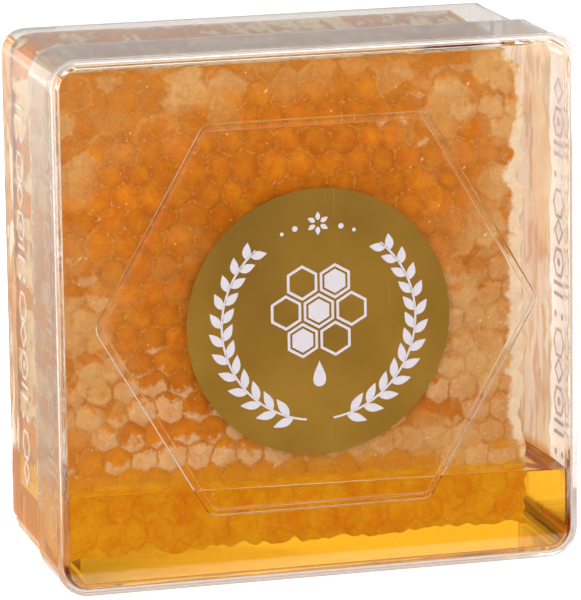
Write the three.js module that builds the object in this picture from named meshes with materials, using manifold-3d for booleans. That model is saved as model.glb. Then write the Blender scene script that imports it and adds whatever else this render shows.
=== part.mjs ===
// A piece of honeycomb in a shut clear box, standing on one narrow side, with loose
// honey lying in the bottom of the box.
// Millimetres. +X is to the right, +Y to the back and +Z up. The origin is under the
// middle of the box, on the surface that it stands on. The lid faces -Y.

import * as THREE from 'three';
import { mergeVertices } from 'three/addons/utils/BufferGeometryUtils.js';
import Module from 'manifold-3d';

const wasm = await Module();
wasm.setup();

// Box: a tray that is open to the front, and a lid whose skirt goes round the tray
const BOX_SIDE = 105; // the lid's width, and its height as it stands
const BOX_DEPTH = 50;
const CORNER_RADIUS = 6;
const LID_WALL = 0.9;
const LID_PANEL = 1.2;
const LID_SKIRT = 18;
const LID_EDGE_RADIUS = 1.2;
const TRAY_WALL = 1.2;
const TRAY_EDGE_RADIUS = 2.2;
const FIT_GAP = 0.3;
const FRONT = -BOX_DEPTH / 2;
const BACK = BOX_DEPTH / 2;
const MIDDLE_HEIGHT = BOX_SIDE / 2;

// Hexagon pressed into the lid, measured behind the lid from its middle to its corners
const HEXAGON_RADIUS = 44.5;
const HEXAGON_CORNER_RADIUS = 3;
const HEXAGON_WALL = 1.25; // thickness of the wall round it
const HEXAGON_STEP = 0.9; // how deep it is pressed in
const HEXAGON_DRAFT = 0.1; // how far its sides lean in over that depth

// Round foil label in the middle of the hexagon
const LABEL_RADIUS = 26.3;
const LABEL_DROP = 1.5; // its middle is this far below the hexagon's
const LABEL_THICKNESS = 0.2;
const LABEL_GAP = 0.05;
const LABEL_SIDES = 72;

// Comb: upright six-sided cells in level rows, cut straight on all sides but the right
const CELL_PITCH = 5.4;
const ROW_STEP = CELL_PITCH * Math.sin(Math.PI / 3);
const CELL_RADIUS = CELL_PITCH / 2 / Math.cos(Math.PI / 6);
const COMB_FRONT = -17; // where the grooves between the cells lie, in depth
const COMB_BACK = 18;
const COMB_LEFT = -50;
const COMB_RIGHT = 45;
const COMB_BOTTOM = 6.8;
const COMB_TOP = 102.5;
const RAGGED_EDGE = 0.7; // how far the right limit wanders: cells that cross it are missing
const MISSING_CORNER = 3; // how far that limit draws back at the top
const FACE_SWELL = 0.5; // how far the comb's face swells and dips
const DRY_CAP_RISE = 0.8; // a cap with air under it, above the groove round its cell
const WET_CAP_RISE = 0.45; // a cap that honey touches
const RISE_SPREAD = 0.2;
const CAP_DOME = 0.2; // how far a cap's middle stands above its edge
const CAP_SHARE = 0.7; // a cap's size as a share of its cell

// Loose honey in the bottom of the tray
const HONEY_LEVEL = 18.2;

// Fineness of what is round
const CORNER_STEPS = 8;
const EDGE_STEPS = 4;
const HEXAGON_CORNER_STEPS = 4;

const TRAY_HALF = BOX_SIDE / 2 - LID_WALL - FIT_GAP;
const TRAY_CORNER_RADIUS = CORNER_RADIUS - LID_WALL - FIT_GAP;
const TRAY_FRONT = FRONT + LID_PANEL + FIT_GAP;
const PRESSED_FACE = FRONT + HEXAGON_STEP;
const COMB_RELIEF = DRY_CAP_RISE + RISE_SPREAD + CAP_DOME + 2 * FACE_SWELL;

// Outlines are in the plane of the lid, round its middle, anticlockwise from the front

function arcPoints(x, z, radius, from, to, steps) {
  return new THREE.EllipseCurve(x, z, radius, radius, from, to).getPoints(steps);
}

function roundedSquare(half, radius) {
  const reach = half - radius;
  const corners = [[1, 1], [-1, 1], [-1, -1], [1, -1]];
  return corners.flatMap(([right, up], quarter) => {
    const start = quarter * Math.PI / 2;
    return arcPoints(right * reach, up * reach, radius, start, start + Math.PI / 2, CORNER_STEPS);
  });
}

function roundedHexagon(cornerRadius, size) {
  const reach = size - cornerRadius / Math.cos(Math.PI / 6);
  const points = [];
  for (let corner = 0; corner < 6; corner += 1) {
    const toward = corner * Math.PI / 3;
    const x = reach * Math.cos(toward);
    const z = reach * Math.sin(toward);
    const from = toward - Math.PI / 6;
    const to = toward + Math.PI / 6;
    points.push(...arcPoints(x, z, cornerRadius, from, to, HEXAGON_CORNER_STEPS));
  }
  return points;
}

function meshGeometry(places, triangles) {
  const geometry = new THREE.BufferGeometry();
  geometry.setAttribute('position', new THREE.Float32BufferAttribute(places, 3));
  geometry.setIndex(triangles);
  return geometry;
}

// Closed body through outlines of equal length, from the front to the back
function loft(sections) {
  const places = [];
  const triangles = [];
  const count = sections[0].outline.length;
  for (const { outline, y } of sections) {
    for (const point of outline) places.push(point.x, y, MIDDLE_HEIGHT + point.y);
  }
  for (let section = 1; section < sections.length; section += 1) {
    const near = (section - 1) * count;
    const far = section * count;
    for (let i = 0; i < count; i += 1) {
      const next = (i + 1) % count;
      triangles.push(near + i, far + i, far + next, near + i, far + next, near + next);
    }
  }
  const last = (sections.length - 1) * count;
  for (let i = 1; i < count - 1; i += 1) {
    triangles.push(0, i, i + 1, last, last + i + 1, last + i);
  }
  return meshGeometry(places, triangles);
}

function block(left, front, bottom, right, back, top) {
  const geometry = new THREE.BoxGeometry(right - left, back - front, top - bottom);
  geometry.translate((left + right) / 2, (front + back) / 2, (bottom + top) / 2);
  return geometry;
}

function solid(geometry) {
  const bare = geometry.clone();
  bare.deleteAttribute('normal');
  bare.deleteAttribute('uv');
  const merged = mergeVertices(bare);
  return new wasm.Manifold(new wasm.Mesh({
    numProp: 3,
    vertProperties: new Float32Array(merged.attributes.position.array),
    triVerts: new Uint32Array(merged.index.array),
  }));
}

function geometryOf(body) {
  const mesh = body.getMesh();
  return meshGeometry(Array.from(mesh.vertProperties), Array.from(mesh.triVerts));
}

// Rounded square slab with one rounded edge: the front one, or with back set, the back one
function edgedSlab(half, cornerRadius, edgeRadius, front, back, roundsBack) {
  const rounding = [];
  for (let step = 0; step <= EDGE_STEPS; step += 1) {
    const turn = step / EDGE_STEPS * Math.PI / 2;
    const inset = edgeRadius * (1 - Math.sin(turn));
    const depth = edgeRadius * (1 - Math.cos(turn));
    const outline = roundedSquare(half - inset, cornerRadius - inset);
    rounding.push({ outline, y: roundsBack ? back - depth : front + depth });
  }
  const plain = { outline: roundedSquare(half, cornerRadius), y: roundsBack ? front : back };
  return loft(roundsBack ? [plain, ...rounding.reverse()] : [...rounding, plain]);
}

// Six-sided plug of the pressed hexagon's form, leaning in towards the back
function hexagonPlug(front, back, wide, narrow) {
  return loft([
    { outline: roundedHexagon(HEXAGON_CORNER_RADIUS, wide), y: front },
    { outline: roundedHexagon(HEXAGON_CORNER_RADIUS, narrow), y: back },
  ]);
}

function lid() {
  const inside = BOX_SIDE / 2 - LID_WALL;
  const insideRadius = CORNER_RADIUS - LID_WALL;
  const skirtBack = FRONT + LID_SKIRT;
  const lean = HEXAGON_DRAFT / Math.cos(Math.PI / 6);
  const leanOn = lean * LID_PANEL / HEXAGON_STEP; // carries a side on past the panel
  const hollowRadius = HEXAGON_RADIUS - HEXAGON_WALL / Math.cos(Math.PI / 6);
  const insidePanel = FRONT + LID_PANEL;
  const outer = solid(edgedSlab(
    BOX_SIDE / 2, CORNER_RADIUS, LID_EDGE_RADIUS, FRONT, skirtBack, false,
  ));
  const hollow = solid(loft([
    { outline: roundedSquare(inside, insideRadius), y: insidePanel },
    { outline: roundedSquare(inside, insideRadius), y: skirtBack + LID_WALL },
  ]));
  const pressedBack = solid(hexagonPlug(
    insidePanel - LID_PANEL / 2,
    insidePanel + HEXAGON_STEP,
    HEXAGON_RADIUS + leanOn / 2,
    HEXAGON_RADIUS - lean,
  ));
  const pressedFront = solid(hexagonPlug(
    FRONT - LID_PANEL, PRESSED_FACE, hollowRadius + leanOn, hollowRadius - lean,
  ));
  return geometryOf(outer.subtract(hollow).add(pressedBack).subtract(pressedFront));
}

function tray() {
  const outer = solid(edgedSlab(
    TRAY_HALF, TRAY_CORNER_RADIUS, TRAY_EDGE_RADIUS, TRAY_FRONT, BACK, true,
  ));
  const hollow = solid(edgedSlab(
    TRAY_HALF - TRAY_WALL,
    TRAY_CORNER_RADIUS - TRAY_WALL,
    TRAY_EDGE_RADIUS - TRAY_WALL,
    TRAY_FRONT - TRAY_WALL,
    BACK - TRAY_WALL,
    true,
  ));
  return geometryOf(outer.subtract(hollow));
}

// All the room in the tray but for a small gap along its walls
function roomInTray() {
  return solid(edgedSlab(
    TRAY_HALF - TRAY_WALL - FIT_GAP,
    TRAY_CORNER_RADIUS - TRAY_WALL,
    TRAY_EDGE_RADIUS - TRAY_WALL,
    TRAY_FRONT,
    BACK - TRAY_WALL - FIT_GAP,
    true,
  ));
}

function label() {
  const back = PRESSED_FACE - LABEL_GAP;
  const disc = new THREE.CylinderGeometry(LABEL_RADIUS, LABEL_RADIUS, LABEL_THICKNESS, LABEL_SIDES);
  disc.translate(0, back - LABEL_THICKNESS / 2, MIDDLE_HEIGHT - LABEL_DROP);
  return disc;
}

// The same number from 0 to 1 each time for one cell and use
function chance(column, row, use) {
  const spread = Math.sin(column * 127.1 + row * 311.7 + use * 74.7) * 43758.5453;
  return spread - Math.floor(spread);
}

// Dry caps lie along the right side, low on the left and above the loose honey
function hasDryCap(x, z, column, row) {
  const left = Math.exp(-((x - COMB_LEFT) ** 2) / 500 - (z - 30) ** 2 / 700);
  const right = Math.exp(-((x - COMB_RIGHT) ** 2) / 260);
  const low = Math.exp(-((z - HONEY_LEVEL - 6) ** 2) / 80);
  const high = 0.7 * Math.exp(-((z - COMB_TOP) ** 2) / 60);
  return left + right + low + high > 0.35 + 0.5 * chance(column, row, 1);
}

function rightLimit(row) {
  const top = (COMB_TOP - COMB_BOTTOM) / ROW_STEP;
  const missing = MISSING_CORNER * Math.exp(-((row - top) ** 2));
  return COMB_RIGHT - RAGGED_EDGE * chance(0, row, 2) - missing;
}

function combCells() {
  const cells = [];
  const rows = Math.ceil((COMB_TOP - COMB_BOTTOM) / ROW_STEP) + 1;
  const columns = Math.ceil((COMB_RIGHT - COMB_LEFT) / CELL_PITCH) + 2;
  for (let row = 0; row < rows; row += 1) {
    for (let column = 0; column < columns; column += 1) {
      const x = COMB_LEFT + (column + (row % 2) / 2) * CELL_PITCH;
      const z = COMB_BOTTOM + row * ROW_STEP;
      if (x + CELL_PITCH / 2 < rightLimit(row)) {
        const rise = hasDryCap(x, z, column, row) ? DRY_CAP_RISE : WET_CAP_RISE;
        cells.push({ x, z, rise: rise + RISE_SPREAD * (2 * chance(column, row, 3) - 1) });
      }
    }
  }
  return cells;
}

function swell(x, z) {
  return FACE_SWELL * (Math.sin(x / 13 + 1) * Math.cos(z / 17) + Math.sin((x + z) / 29));
}

// Both faces of the comb as six-sided cells, joined by a wall along every cell side that
// has no neighbour. In front each cell has a raised cap with sloped sides, and at the back
// it rises straight to its middle.
function combGeometry() {
  const places = [];
  const triangles = [];
  const found = new Map();
  const sides = new Map();
  const put = (x, y, z) => places.push(x, y, z) / 3 - 1;
  const rim = (x, z) => {
    const key = `${Math.round(x * 20)},${Math.round(z * 20)}`;
    if (!found.has(key)) {
      const front = put(x, COMB_FRONT + swell(x, z), z);
      const back = put(x, COMB_BACK - swell(-x, z), z);
      found.set(key, { front, back });
    }
    return found.get(key);
  };
  for (const { x, z, rise } of combCells()) {
    const capDepth = COMB_FRONT + swell(x, z) - rise;
    const front = put(x, capDepth - CAP_DOME, z);
    const back = put(x, COMB_BACK - swell(-x, z) + rise, z);
    const cap = places.length / 3;
    const directions = [];
    for (let corner = 0; corner < 6; corner += 1) {
      const angle = Math.PI / 6 + corner * Math.PI / 3;
      directions.push([CELL_RADIUS * Math.cos(angle), CELL_RADIUS * Math.sin(angle)]);
    }
    for (const [right, up] of directions) put(x + CAP_SHARE * right, capDepth, z + CAP_SHARE * up);
    for (let corner = 0; corner < 6; corner += 1) {
      const after = (corner + 1) % 6;
      const a = rim(x + directions[corner][0], z + directions[corner][1]);
      const b = rim(x + directions[after][0], z + directions[after][1]);
      triangles.push(front, cap + corner, cap + after, back, b.back, a.back);
      triangles.push(cap + corner, a.front, b.front, cap + corner, b.front, cap + after);
      sides.set(`${a.front},${b.front}`, { a, b });
    }
  }
  for (const { a, b } of sides.values()) {
    if (!sides.has(`${b.front},${a.front}`)) {
      triangles.push(a.front, a.back, b.back, a.front, b.back, b.front);
    }
  }
  return meshGeometry(places, triangles);
}

function honeycomb() {
  const reach = COMB_RELIEF + 1;
  const cut = solid(block(
    COMB_LEFT, COMB_FRONT - reach, COMB_BOTTOM, COMB_RIGHT, COMB_BACK + reach, COMB_TOP,
  ));
  return geometryOf(solid(combGeometry()).intersect(cut).intersect(roomInTray()));
}

// Honey fills the foot of the tray round the comb, up to the lid and its pressed hexagon
function honey() {
  const relief = COMB_RELIEF + FIT_GAP;
  const hexagonRadius = HEXAGON_RADIUS + FIT_GAP / Math.cos(Math.PI / 6);
  const belowLevel = solid(block(-TRAY_HALF, FRONT, 0, TRAY_HALF, BACK, HONEY_LEVEL));
  const roundComb = solid(block(
    COMB_LEFT - FIT_GAP, COMB_FRONT - relief, COMB_BOTTOM - FIT_GAP,
    COMB_RIGHT + FIT_GAP, COMB_BACK + relief, HONEY_LEVEL + 1,
  ));
  const pressedPart = solid(hexagonPlug(
    FRONT, PRESSED_FACE + LID_PANEL + FIT_GAP, hexagonRadius, hexagonRadius,
  ));
  return geometryOf(roomInTray().intersect(belowLevel).subtract(roundComb).subtract(pressedPart));
}

const clearPlastic = new THREE.MeshStandardMaterial({
  color: 0xf1ece8, roughness: 0.05, metalness: 0, transparent: true, opacity: 0.25,
});
const combWax = new THREE.MeshStandardMaterial({ color: 0xd98a3a, roughness: 0.5, metalness: 0 });
const looseHoney = new THREE.MeshStandardMaterial({
  color: 0xd88a10, roughness: 0.08, metalness: 0, transparent: true, opacity: 0.85,
});
const goldFoil = new THREE.MeshStandardMaterial({
  color: 0x96702a, roughness: 0.35, metalness: 0.8,
});

const boxedHoneycomb = new THREE.Group();

function addPiece(name, geometry, material) {
  const mesh = new THREE.Mesh(geometry, material);
  mesh.name = name;
  boxedHoneycomb.add(mesh);
}

addPiece('tray', tray(), clearPlastic);
addPiece('lid', lid(), clearPlastic);
addPiece('honeycomb', honeycomb(), combWax);
addPiece('honey', honey(), looseHoney);
addPiece('label', label(), goldFoil);

export default boxedHoneycomb;
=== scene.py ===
"""A piece of honeycomb in a shut clear box, with loose honey in the bottom of the box.

Metres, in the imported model's frame: +X right, +Y back, +Z up, lid facing -Y.
"""

import math

import bmesh
import bpy
import numpy as np
from mathutils import Matrix, Vector, noise


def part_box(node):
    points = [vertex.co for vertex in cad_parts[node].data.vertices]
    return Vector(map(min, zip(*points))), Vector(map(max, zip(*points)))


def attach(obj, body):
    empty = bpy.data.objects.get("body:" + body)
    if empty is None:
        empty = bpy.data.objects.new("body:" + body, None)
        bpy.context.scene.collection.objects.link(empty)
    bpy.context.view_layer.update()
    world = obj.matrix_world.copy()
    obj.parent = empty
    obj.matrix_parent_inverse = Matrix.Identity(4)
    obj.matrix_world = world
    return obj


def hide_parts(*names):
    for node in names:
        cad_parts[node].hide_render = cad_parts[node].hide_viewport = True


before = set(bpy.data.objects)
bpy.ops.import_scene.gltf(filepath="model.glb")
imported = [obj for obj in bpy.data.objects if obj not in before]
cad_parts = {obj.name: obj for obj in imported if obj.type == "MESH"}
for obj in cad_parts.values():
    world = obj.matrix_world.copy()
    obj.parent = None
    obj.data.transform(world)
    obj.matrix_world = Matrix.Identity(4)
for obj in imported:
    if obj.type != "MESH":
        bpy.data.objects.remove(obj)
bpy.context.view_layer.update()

MM = 0.001

# ---- Sizes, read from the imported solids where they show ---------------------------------

lid_low, lid_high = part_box("lid")
tray_low, tray_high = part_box("tray")
comb_low, comb_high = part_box("honeycomb")
label_low, label_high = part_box("label")

MIDDLE_Z = (lid_low.z + lid_high.z) / 2
BOX_HALF = (lid_high.x - lid_low.x) / 2
FRONT_Y = lid_low.y
SKIRT_BACK_Y = lid_high.y
LID_CORNER = 6 * MM
LID_WALL = 0.9 * MM
LID_PANEL = 1.2 * MM
LID_EDGE = 1.2 * MM

TRAY_HALF = (tray_high.x - tray_low.x) / 2
TRAY_FRONT_Y = tray_low.y
BACK_Y = tray_high.y
TRAY_CORNER = 4.8 * MM
TRAY_WALL = 1.2 * MM
TRAY_EDGE = 2.2 * MM
FIT_GAP = 0.3 * MM

HEXAGON_REACH = 44.5 * MM  # from its middle to a corner
HEXAGON_APOTHEM = HEXAGON_REACH * math.cos(math.pi / 6)
HEXAGON_CORNER = 3 * MM
HEXAGON_STEP = 0.9 * MM
HEXAGON_WALL = 1.25 * MM  # thickness of the wall round the pressed hexagon
HEXAGON_DRAFT = 0.1 * MM

CELL_PITCH = 5.4 * MM
ROW_STEP = CELL_PITCH * math.sin(math.pi / 3)
CELL_RADIUS = CELL_PITCH / 2 / math.cos(math.pi / 6)
GROOVE_FRONT_Y = -17 * MM
GROOVE_BACK_Y = 18 * MM
TOP_DROP = 1.1 * MM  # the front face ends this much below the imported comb
FOOT_SLANT = 5.4 * MM  # how much higher the comb ends at the back than in front
COMB_LEFT = comb_low.x
COMB_RIGHT = comb_high.x
COMB_FOOT = comb_low.z - 0.8 * MM
COMB_TOP = comb_high.z

HONEY_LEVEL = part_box("honey")[1].z
HONEY_TILT = 0.02  # the level falls this much to the right
WALL_REACH = 0.15 * MM  # how far the honey reaches into the plastic round it
FLOOR_REACH = 0.9 * MM  # it reaches further down, so that its colour runs along in the floor


# ---- Pieces and meshes ------------------------------------------------------------------


def add_object(name, data):
    thing = bpy.data.objects.new(name, data)
    bpy.context.scene.collection.objects.link(thing)
    return thing


def add_piece(name, shape, materials, replaced=None, sharp=60, layers=(), first_count=None):
    """Mesh object that belongs to the box, outward faces, smooth but for edges over sharp degrees.

    layers holds numbers for each face's corners by name. Faces past first_count have the
    second material.
    """
    mesh = bpy.data.meshes.new(name)
    places, faces = shape
    mesh.from_pydata([tuple(place) for place in places], [], faces)
    for layer, values in dict(layers).items():
        numbers = np.array(values, np.float32).ravel()
        mesh.attributes.new(layer, "FLOAT_VECTOR", "CORNER").data.foreach_set("vector", numbers)
    shell = bmesh.new()
    shell.from_mesh(mesh)
    bmesh.ops.recalc_face_normals(shell, faces=shell.faces)
    shell.to_mesh(mesh)
    shell.free()
    for material in materials:
        mesh.materials.append(material)
    if first_count is not None:
        second = np.arange(len(mesh.polygons)) >= first_count
        mesh.polygons.foreach_set("material_index", second.astype(np.int32))
    mesh.shade_smooth()
    mesh.set_sharp_from_angle(angle=math.radians(sharp))
    piece = add_object(name, mesh)
    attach(piece, "root")
    if replaced:
        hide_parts(replaced)


def smooth_step(low, high, value):
    share = np.clip((value - low) / (high - low), 0, 1)
    return share * share * (3 - 2 * share)


def noise_at(places, scale, seed):
    """Smooth noise from -1 to 1 at each place, with features about as large as scale."""
    shift = Vector((seed * 3.1, seed * 7.7, seed * 1.3))
    return np.array([noise.noise(Vector(p) / scale + shift) for p in places])


# ---- Box: shells lofted through rounded squares and hexagons -----------------------------

SQUARE = {"sides": 4, "first": math.pi / 4, "half": BOX_HALF, "corner": LID_CORNER, "steps": 12}
HEXAGON = {"sides": 6, "first": 0, "half": HEXAGON_APOTHEM, "corner": HEXAGON_CORNER, "steps": 6}


def corner_reach(form, half):
    """Half a side's turn, the corner arc's middle and where that arc meets the side."""
    turn = math.pi / form["sides"]
    corner = max(form["corner"] - (form["half"] - half), 0.3 * MM)
    middle = (half - corner) / math.cos(turn)
    meets = math.atan2(corner * math.sin(turn), middle + corner * math.cos(turn))
    return turn, corner, middle, meets


def outline_reach(form, half, angle):
    """How far a form with rounded corners reaches from its middle in one direction."""
    turn, corner, middle, meets = corner_reach(form, half)
    off = abs((angle - form["first"] + turn) % (2 * turn) - turn)
    if off < meets:
        across = middle * math.sin(off)
        return middle * math.cos(off) + math.sqrt(corner * corner - across * across)
    return half / math.cos(turn - off)


def ring_directions():
    """Directions that draw the corners of both forms finely and their sides coarsely."""
    angles = set()
    for form in (SQUARE, HEXAGON):
        turn, _, _, meets = corner_reach(form, form["half"])
        steps = form["steps"]
        for side in range(form["sides"]):
            corner_at = form["first"] + 2 * turn * side
            angles.add((corner_at + turn) % math.tau)
            for step in range(-steps, steps + 1):
                angles.add((corner_at + 1.05 * meets * step / steps) % math.tau)
    return sorted(angles)


DIRECTIONS = ring_directions()


def rounded_profile(corners, steps=4, guard=0.12 * MM):
    """(half, depth) along a profile of (half, depth, radius) corners, each eased by its radius.

    A guard point past each end of a bend keeps the flat beyond it flat when it is shaded.
    """
    points = []
    for index, (half, depth, radius) in enumerate(corners):
        here = Vector((half, depth))
        if radius == 0:
            points.append(here)
            continue
        back = (Vector(corners[index - 1][:2]) - here).normalized()
        ahead = (Vector(corners[index + 1][:2]) - here).normalized()
        half_turn = back.angle(ahead) / 2
        reach = radius / math.tan(half_turn)
        middle = here + (back + ahead).normalized() * radius / math.sin(half_turn)
        start = here + back * reach - middle
        end = here + ahead * reach - middle
        points.append(here + back * (reach + guard))
        for step in range(steps + 1):
            points.append(middle + start.lerp(end, step / steps).normalized() * radius)
        points.append(here + ahead * (reach + guard))
    return points


def ring_faces(starts, count):
    """Faces between rings of count points each, which begin at these numbers."""
    return [
        (near + i, near + (i + 1) % count, far + (i + 1) % count, far + i)
        for near, far in zip(starts, starts[1:]) for i in range(count)
    ]


def loft_shell(sections):
    """Closed shell through (form, profile) sections, shut at both ends by its middle."""
    places = []
    rings = []
    for form, profile in sections:
        for half, depth in profile:
            rings.append(len(places))
            for angle in DIRECTIONS:
                reach = outline_reach(form, half, angle)
                places.append((reach * math.cos(angle), depth, MIDDLE_Z + reach * math.sin(angle)))
    count = len(DIRECTIONS)
    faces = ring_faces(rings, count)
    for ring in (rings[0], rings[-1]):
        middle = len(places)
        places.append((0, places[ring][1], MIDDLE_Z))
        faces.extend((middle, ring + i, ring + (i + 1) % count) for i in range(count))
    return places, faces


def pressed_hexagon(half, depth):
    """Profile of the step round the hexagon, from its pressed floor out to the panel."""
    bend = 0.15 * MM
    return rounded_profile([
        (half - 2 * MM, depth + HEXAGON_STEP, 0),
        (half - HEXAGON_DRAFT, depth + HEXAGON_STEP, bend),
        (half, depth, bend),
        (half + 1 * MM, depth, 0),
    ])


def lid_shell():
    inside = BOX_HALF - LID_WALL
    panel_back = FRONT_Y + LID_PANEL
    skirt = rounded_profile([
        (BOX_HALF - 2.5 * MM, FRONT_Y, 0),
        (BOX_HALF, FRONT_Y, LID_EDGE),
        (BOX_HALF, SKIRT_BACK_Y, 0.2 * MM),
        (inside, SKIRT_BACK_Y, 0.2 * MM),
        (inside, panel_back, 0.5 * MM),
        (BOX_HALF - 3.5 * MM, panel_back, 0),
    ])
    return loft_shell([
        (HEXAGON, pressed_hexagon(HEXAGON_APOTHEM - HEXAGON_WALL, FRONT_Y)),
        (SQUARE, skirt),
        (HEXAGON, pressed_hexagon(HEXAGON_APOTHEM, panel_back)[::-1]),
    ])


def tray_shell():
    form = dict(SQUARE, half=TRAY_HALF, corner=TRAY_CORNER)
    inside = TRAY_HALF - TRAY_WALL
    floor = BACK_Y - TRAY_WALL
    walls = rounded_profile([
        (TRAY_HALF - 6 * MM, BACK_Y, 0),
        (TRAY_HALF, BACK_Y, TRAY_EDGE),
        (TRAY_HALF, TRAY_FRONT_Y, 0.25 * MM),
        (inside, TRAY_FRONT_Y, 0.25 * MM),
        (inside, floor, TRAY_EDGE - TRAY_WALL),
        (TRAY_HALF - 6 * MM, floor, 0),
    ])
    return loft_shell([(form, walls)])


# ---- Comb: capped cells in front and behind, cut straight on three sides -----------------

SIDE_POINTS = 3  # points along one side of a cell
RING_SHARES = (1, 0.9, 0.78, 0.5)  # rings of a cell as shares of its size
DRY_CAP_RISE = 0.28 * MM
WET_CAP_RISE = 0.12 * MM
RISE_SPREAD = 0.08 * MM
CAP_DOME = 0.06 * MM
FACE_SWELL = 0.5 * MM
CUT_STEPS = 30


def chance(column, row, use):
    """The same number from 0 to 1 each time for one cell and use."""
    spread = np.sin(column * 127.1 + row * 311.7 + use * 74.7) * 43758.5453
    return spread - np.floor(spread)


def torn_limit(z):
    """How far the comb reaches to the right at each height, for an array of heights."""
    line = [(0, 0, height) for height in z]
    tear = 1.2 * noise_at(line, 6 * MM, 11) + 1.0 * noise_at(line, 2 * MM, 12)
    missing = 3.5 * smooth_step(COMB_TOP - 6 * MM, COMB_TOP, z)
    return COMB_RIGHT - (1.3 - tear + missing) * MM


def torn_foot(x):
    """How far down the comb reaches at each place across, for an array of places."""
    line = [(place, 0, 0) for place in x]
    tear = 0.6 + 1.2 * noise_at(line, 9 * MM, 13) + 1.2 * noise_at(line, 2.2 * MM, 14)
    return COMB_FOOT + np.clip(tear, 0, None) * MM


def underside(y):
    """How high the comb's slanting underside lies above its front edge at each depth."""
    return FOOT_SLANT * np.clip((y - GROOVE_FRONT_Y) / (GROOVE_BACK_Y - GROOVE_FRONT_Y), 0, 1)


def comb_cells():
    rows = math.ceil((COMB_TOP - COMB_FOOT) / ROW_STEP) + 1
    columns = math.ceil((COMB_RIGHT - COMB_LEFT) / CELL_PITCH) + 1
    for row in range(rows):
        for column in range(columns):
            x = COMB_LEFT + (column + row % 2 / 2) * CELL_PITCH
            z = COMB_FOOT + row * ROW_STEP
            if x - CELL_PITCH / 2 < COMB_RIGHT:
                yield x, z


def fit_outline(sheet):
    """Draw in the sheet's points past the torn edges and the tray's rounded corner."""
    points = sheet.verts[:]
    limits = torn_limit(np.array([point.co.z for point in points]))
    feet = torn_foot(np.array([point.co.x for point in points]))
    beyond = {p for p, limit, foot in zip(points, limits, feet) if p.co.x > limit or p.co.z < foot}
    lost = [face for face in sheet.faces if all(p in beyond for p in face.verts)]
    bmesh.ops.delete(sheet, geom=lost, context="FACES")
    for point, limit, foot in zip(points, limits, feet):
        if point.is_valid and point in beyond:
            point.co.x = min(point.co.x, limit)
            point.co.z = max(point.co.z, foot)
    radius = TRAY_CORNER - TRAY_WALL
    side = TRAY_HALF - TRAY_WALL - FIT_GAP - radius
    middle = Vector((-side, 0, MIDDLE_Z + side))
    for point in sheet.verts:
        away = point.co - middle
        if away.x < 0 < away.z and away.length > radius:
            point.co = middle + away.normalized() * radius


def cell_sheet():
    """Flat sheet of all the cells in rings, cut off at the comb's outline."""
    sheet = bmesh.new()
    rim = {}

    def rim_point(x, z):
        key = (round(x / MM * 50), round(z / MM * 50))
        if key not in rim:
            rim[key] = sheet.verts.new((x, 0, z))
        return rim[key]

    turns = [math.pi / 6 + math.pi / 3 * side for side in range(6)]
    corners = [Vector((math.cos(turn), math.sin(turn))) * CELL_RADIUS for turn in turns]
    around = [
        here.lerp(there, i / SIDE_POINTS)
        for here, there in zip(corners, corners[1:] + corners[:1]) for i in range(SIDE_POINTS)
    ]
    for x, z in comb_cells():
        rings = [[rim_point(x + p.x, z + p.y) for p in around]]
        for share in RING_SHARES[1:]:
            rings.append([sheet.verts.new((x + p.x * share, 0, z + p.y * share)) for p in around])
        middle = sheet.verts.new((x, 0, z))
        for outer, inner in zip(rings, rings[1:]):
            for i in range(len(around)):
                sheet.faces.new((outer[i - 1], outer[i], inner[i], inner[i - 1]))
        for i in range(len(around)):
            sheet.faces.new((rings[-1][i - 1], rings[-1][i], middle))
    for place, outward in (
        ((COMB_LEFT, 0, 0), (-1, 0, 0)),
        ((0, 0, COMB_FOOT), (0, 0, -1)),
        ((0, 0, COMB_TOP), (0, 0, 1)),
    ):
        cut = {"plane_co": place, "plane_no": outward, "clear_outer": True, "dist": 1e-6}
        bmesh.ops.bisect_plane(sheet, geom=sheet.verts[:] + sheet.edges[:] + sheet.faces[:], **cut)
    fit_outline(sheet)
    return sheet


def cell_of(x, z):
    """Column, row and middle of the cell that holds each place, for arrays of places."""
    best = None
    for shift in (0, 1):
        row = np.round((z - COMB_FOOT) / ROW_STEP / 2 - shift / 2) * 2 + shift
        column = np.round((x - COMB_LEFT) / CELL_PITCH - shift / 2)
        middle_x = COMB_LEFT + (column + shift / 2) * CELL_PITCH
        middle_z = COMB_FOOT + row * ROW_STEP
        away = (x - middle_x) ** 2 + (z - middle_z) ** 2
        found = np.array([column, row, middle_x, middle_z, away])
        best = found if best is None else np.where(found[4] < best[4], found, best)
    return best[:4]


def cell_distance(across, up):
    """0 at a cell's middle and 1 at its rim."""
    half = CELL_PITCH / 2
    slant = 0.5 * np.abs(across) + math.sin(math.pi / 3) * np.abs(up)
    return np.maximum(np.abs(across), slant) / half


def dryness(column, row, x, z):
    """How much of each cell's cap has air under it: much low on both sides, little higher up."""
    across = x / MM
    up = z / MM
    amount = bump_map(across, up, [
        (-46, 50, 9, 17, 0.75), (-34, 36, 17, 13, 0.85), (38, 36, 18, 17, 1.3), (45, 62, 8, 24, 1.2),
        (43, 90, 6, 12, 0.8), (30, 55, 9, 8, 0.75), (0, 24, 60, 4, 0.6), (-40, 99, 12, 5, 0.6),
        (-6, 29, 24, 5, 0.45),
        (-8, 98, 30, 4, 0.5), (28, 92, 14, 9, 0.6),
    ])
    return np.clip(amount - 0.7 * chance(column, row, 1) + 0.08, 0, 1)


def bump_map(across, up, spots):
    """Sum of soft round spots of (middle across, middle up, width, height, strength)."""
    total = 0
    for middle_x, middle_z, width, height, strength in spots:
        away = ((across - middle_x) / width) ** 2 + ((up - middle_z) / height) ** 2
        total = total + strength * np.exp(-away)
    return total


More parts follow.
